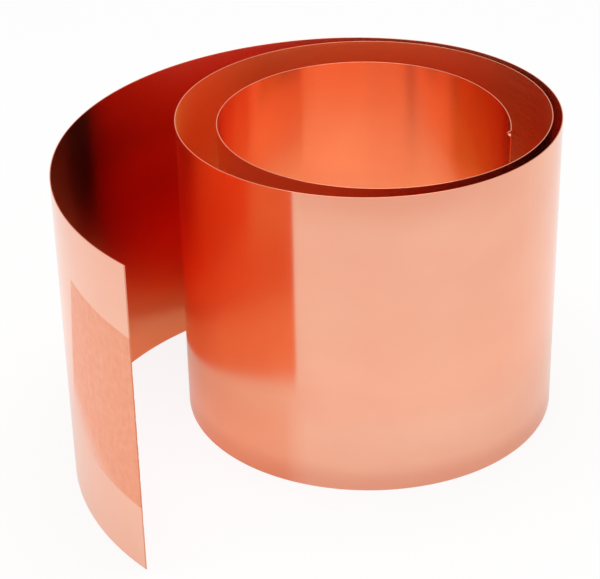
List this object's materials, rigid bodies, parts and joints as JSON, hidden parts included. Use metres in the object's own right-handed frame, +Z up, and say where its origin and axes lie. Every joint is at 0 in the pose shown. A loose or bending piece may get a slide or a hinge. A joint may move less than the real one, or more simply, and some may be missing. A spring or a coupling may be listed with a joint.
{
  "type": "copper strip coil",
  "caption": "Springy coil of thin bare copper strip standing on its edge, its outer end sprung open as a tail and its inner turn loose.",
  "frame": {"origin": "middle of the coil's plan box, on the surface that its bottom edge stands on", "axes": "+Z up, across the width of the strip; -Y towards the front, where the coil bulges and the tail's cut end points; +X to the coil's right"},
  "size_m": [0.1544, 0.1584, 0.1],
  "materials": {
    "copper": "satin rolled copper"
  },
  "bodies": {
    "coil": {"coil_wrap_1": "copper", "coil_wrap_2": "copper", "coil_wrap_3": "copper", "coil_wrap_4": "copper", "coil_wrap_5": "copper", "coil_wrap_6": "copper", "coil_wrap_7": "copper", "coil_wrap_8": "copper", "coil_wrap_9": "copper", "coil_wrap_10": "copper"},
    "inner_wrap_8": {"inner_wrap_8": "copper"},
    "inner_wrap_7": {"inner_wrap_7": "copper"},
    "inner_wrap_6": {"inner_wrap_6": "copper"},
    "inner_wrap_5": {"inner_wrap_5": "copper"},
    "inner_wrap_4": {"inner_wrap_4": "copper"},
    "inner_wrap_3": {"inner_wrap_3": "copper"},
    "inner_wrap_2": {"inner_wrap_2": "copper"},
    "inner_wrap_1": {"inner_wrap_1": "copper"},
    "inner_end": {"inner_end": "copper"},
    "tail_1": {"tail_1": "copper"},
    "tail_2": {"tail_2": "copper"},
    "tail_3": {"tail_3": "copper"},
    "tail_4": {"tail_4": "copper"},
    "tail_5": {"tail_5": "copper"},
    "free_end": {"free_end": "copper"}
  },
  "joints": [
    {"name": "inner_wrap_8_bend", "type": "hinge", "parent": "coil", "child": "inner_wrap_8", "pos_m": [0.05803, 0.05779, 0.05], "axis": [0, 0, -1], "range_deg": [-0.18, 0.27], "stiffness_Nm_per_rad": 0.68},
    {"name": "inner_wrap_7_bend", "type": "hinge", "parent": "inner_wrap_8", "child": "inner_wrap_7", "pos_m": [0.07403, 0.02201, 0.05], "axis": [0, 0, -1], "range_deg": [-0.81, 1.22], "stiffness_Nm_per_rad": 0.68},
    {"name": "inner_wrap_6_bend", "type": "hinge", "parent": "inner_wrap_7", "child": "inner_wrap_6", "pos_m": [0.06288, -0.01551, 0.05], "axis": [0, 0, -1], "range_deg": [-2, 3.01], "stiffness_Nm_per_rad": 0.68},
    {"name": "inner_wrap_5_bend", "type": "hinge", "parent": "inner_wrap_6", "child": "inner_wrap_5", "pos_m": [0.02954, -0.03589, 0.05], "axis": [0, 0, -1], "range_deg": [-3.67, 5.52], "stiffness_Nm_per_rad": 0.68},
    {"name": "inner_wrap_4_bend", "type": "hinge", "parent": "inner_wrap_5", "child": "inner_wrap_4", "pos_m": [-0.00852, -0.02746, 0.05], "axis": [0, 0, -1], "range_deg": [-5.7, 8.6], "stiffness_Nm_per_rad": 0.68},
    {"name": "inner_wrap_3_bend", "type": "hinge", "parent": "inner_wrap_4", "child": "inner_wrap_3", "pos_m": [-0.02872, 0.00574, 0.05], "axis": [0, 0, -1], "range_deg": [-7.84, 11.82], "stiffness_Nm_per_rad": 0.68},
    {"name": "inner_wrap_2_bend", "type": "hinge", "parent": "inner_wrap_3", "child": "inner_wrap_2", "pos_m": [-0.01725, 0.04276, 0.05], "axis": [0, 0, -1], "range_deg": [-9.79, 14.77], "stiffness_Nm_per_rad": 0.68},
    {"name": "inner_wrap_1_bend", "type": "hinge", "parent": "inner_wrap_2", "child": "inner_wrap_1", "pos_m": [0.01858, 0.05727, 0.05], "axis": [0, 0, -1], "range_deg": [-11.38, 17.17], "stiffness_Nm_per_rad": 0.68},
    {"name": "inner_end_bend", "type": "hinge", "parent": "inner_wrap_1", "child": "inner_end", "pos_m": [0.05181, 0.0377, 0.05], "axis": [0, 0, -1], "range_deg": [-6.72, 10.13], "stiffness_Nm_per_rad": 0.68},
    {"name": "tail_1_bend", "type": "hinge", "parent": "coil", "child": "tail_1", "pos_m": [0.03684, 0.07468, 0.05], "axis": [0, 0, -1], "range_deg": [-3.62, 6.85], "stiffness_Nm_per_rad": 0.68},
    {"name": "tail_2_bend", "type": "hinge", "parent": "tail_1", "child": "tail_2", "pos_m": [-0.00258, 0.07776, 0.05], "axis": [0, 0, -1], "range_deg": [-9.6, 18.2], "stiffness_Nm_per_rad": 0.68},
    {"name": "tail_3_bend", "type": "hinge", "parent": "tail_2", "child": "tail_3", "pos_m": [-0.03899, 0.06201, 0.05], "axis": [0, 0, -1], "range_deg": [-12.16, 23.05], "stiffness_Nm_per_rad": 0.68},
    {"name": "tail_4_bend", "type": "hinge", "parent": "tail_3", "child": "tail_4", "pos_m": [-0.06527, 0.03228, 0.05], "axis": [0, 0, -1], "range_deg": [-12.47, 23.63], "stiffness_Nm_per_rad": 0.68},
    {"name": "tail_5_bend", "type": "hinge", "parent": "tail_4", "child": "tail_5", "pos_m": [-0.07676, -0.00572, 0.05], "axis": [0, 0, -1], "range_deg": [-12.76, 24.17], "stiffness_Nm_per_rad": 0.68},
    {"name": "free_end_bend", "type": "hinge", "parent": "tail_5", "child": "free_end", "pos_m": [-0.07169, -0.0451, 0.05], "axis": [0, 0, -1], "range_deg": [-13.03, 24.69], "stiffness_Nm_per_rad": 0.68}
  ],
  "couplings": [
    {"joint": "inner_wrap_8_bend", "follows": "inner_wrap_4_bend", "ratio": 0.0291},
    {"joint": "inner_wrap_7_bend", "follows": "inner_wrap_4_bend", "ratio": 0.1396},
    {"joint": "inner_wrap_6_bend", "follows": "inner_wrap_4_bend", "ratio": 0.348},
    {"joint": "inner_wrap_5_bend", "follows": "inner_wrap_4_bend", "ratio": 0.6405},
    {"joint": "inner_wrap_3_bend", "follows": "inner_wrap_4_bend", "ratio": 1.3731},
    {"joint": "inner_wrap_2_bend", "follows": "inner_wrap_4_bend", "ratio": 1.7153},
    {"joint": "inner_wrap_1_bend", "follows": "inner_wrap_4_bend", "ratio": 1.9943},
    {"joint": "inner_end_bend", "follows": "inner_wrap_4_bend", "ratio": 1.1766},
    {"joint": "tail_1_bend", "follows": "tail_2_bend", "ratio": 0.3754},
    {"joint": "tail_3_bend", "follows": "tail_2_bend", "ratio": 1.2656},
    {"joint": "tail_4_bend", "follows": "tail_2_bend", "ratio": 1.2974},
    {"joint": "tail_5_bend", "follows": "tail_2_bend", "ratio": 1.3274},
    {"joint": "free_end_bend", "follows": "tail_2_bend", "ratio": 1.3558}
  ]
}
